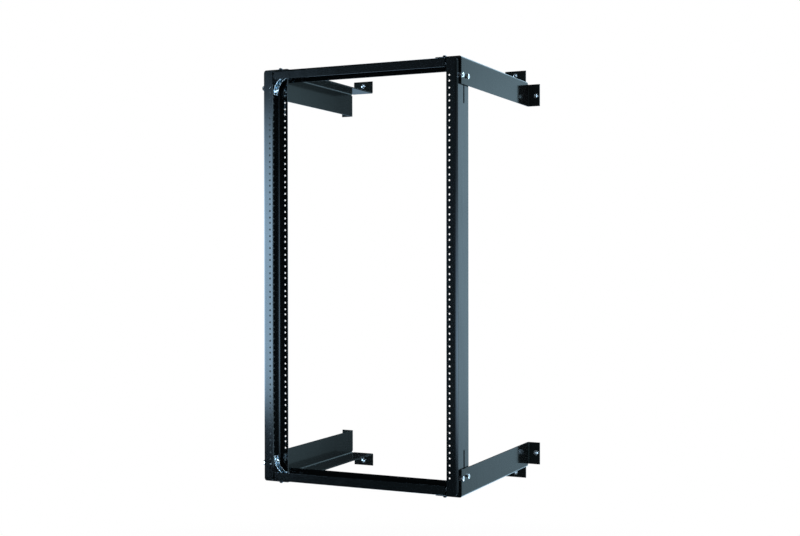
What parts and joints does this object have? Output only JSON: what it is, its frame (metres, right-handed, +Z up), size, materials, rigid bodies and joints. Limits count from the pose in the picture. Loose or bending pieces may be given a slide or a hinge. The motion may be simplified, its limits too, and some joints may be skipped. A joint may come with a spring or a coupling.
{
  "type": "wall-mount open equipment rack",
  "caption": "Black open-frame 19 inch rack held off a wall by angle arms with bent, screwed wall tabs, with zinc corner gussets inside the frame.",
  "frame": {"origin": "on the wall face of the lower left arm's side tab, 14 mm above the centre of its wall screw", "axes": "+X to the right seen from the front, +Y into the wall (the wall plane is y = 0), +Z up"},
  "size_m": [0.5721, 0.495, 1.051],
  "materials": {
    "black_powder_coat": "fine textured semi-gloss black powder coat",
    "zinc_plate": "bright zinc plate",
    "black_nylon": "black nylon",
    "black_oxide": "black oxide"
  },
  "bodies": {
    "root": {"bottom_beam": "black_powder_coat", "left_upright": "black_powder_coat", "lower_left_arm": "black_powder_coat", "lower_left_end_wall_screw": "zinc_plate", "lower_left_front_shelf_bolt": "black_oxide", "lower_left_front_side_bolt": "zinc_plate", "lower_left_front_spacer": "black_nylon", "lower_left_gusset": "zinc_plate", "lower_left_rear_shelf_bolt": "black_oxide", "lower_left_rear_side_bolt": "zinc_plate", "lower_left_rear_spacer": "black_nylon", "lower_left_side_wall_screw": "zinc_plate", "lower_right_arm": "black_powder_coat", "lower_right_end_wall_screw": "zinc_plate", "lower_right_front_shelf_bolt": "black_oxide", "lower_right_front_side_bolt": "zinc_plate", "lower_right_front_spacer": "black_nylon", "lower_right_gusset": "zinc_plate", "lower_right_rear_shelf_bolt": "black_oxide", "lower_right_rear_side_bolt": "zinc_plate", "lower_right_rear_spacer": "black_nylon", "lower_right_side_wall_screw": "zinc_plate", "right_upright": "black_powder_coat", "top_beam": "black_powder_coat", "upper_left_arm": "black_powder_coat", "upper_left_end_wall_screw": "zinc_plate", "upper_left_front_shelf_bolt": "black_oxide", "upper_left_front_side_bolt": "zinc_plate", "upper_left_front_spacer": "black_nylon", "upper_left_gusset": "zinc_plate", "upper_left_rear_shelf_bolt": "black_oxide", "upper_left_rear_side_bolt": "zinc_plate", "upper_left_rear_spacer": "black_nylon", "upper_left_side_wall_screw": "zinc_plate", "upper_right_arm": "black_powder_coat", "upper_right_end_wall_screw": "zinc_plate", "upper_right_front_shelf_bolt": "black_oxide", "upper_right_front_side_bolt": "zinc_plate", "upper_right_front_spacer": "black_nylon", "upper_right_gusset": "zinc_plate", "upper_right_rear_shelf_bolt": "black_oxide", "upper_right_rear_side_bolt": "zinc_plate", "upper_right_rear_spacer": "black_nylon", "upper_right_side_wall_screw": "zinc_plate"}
  },
  "joints": []
}
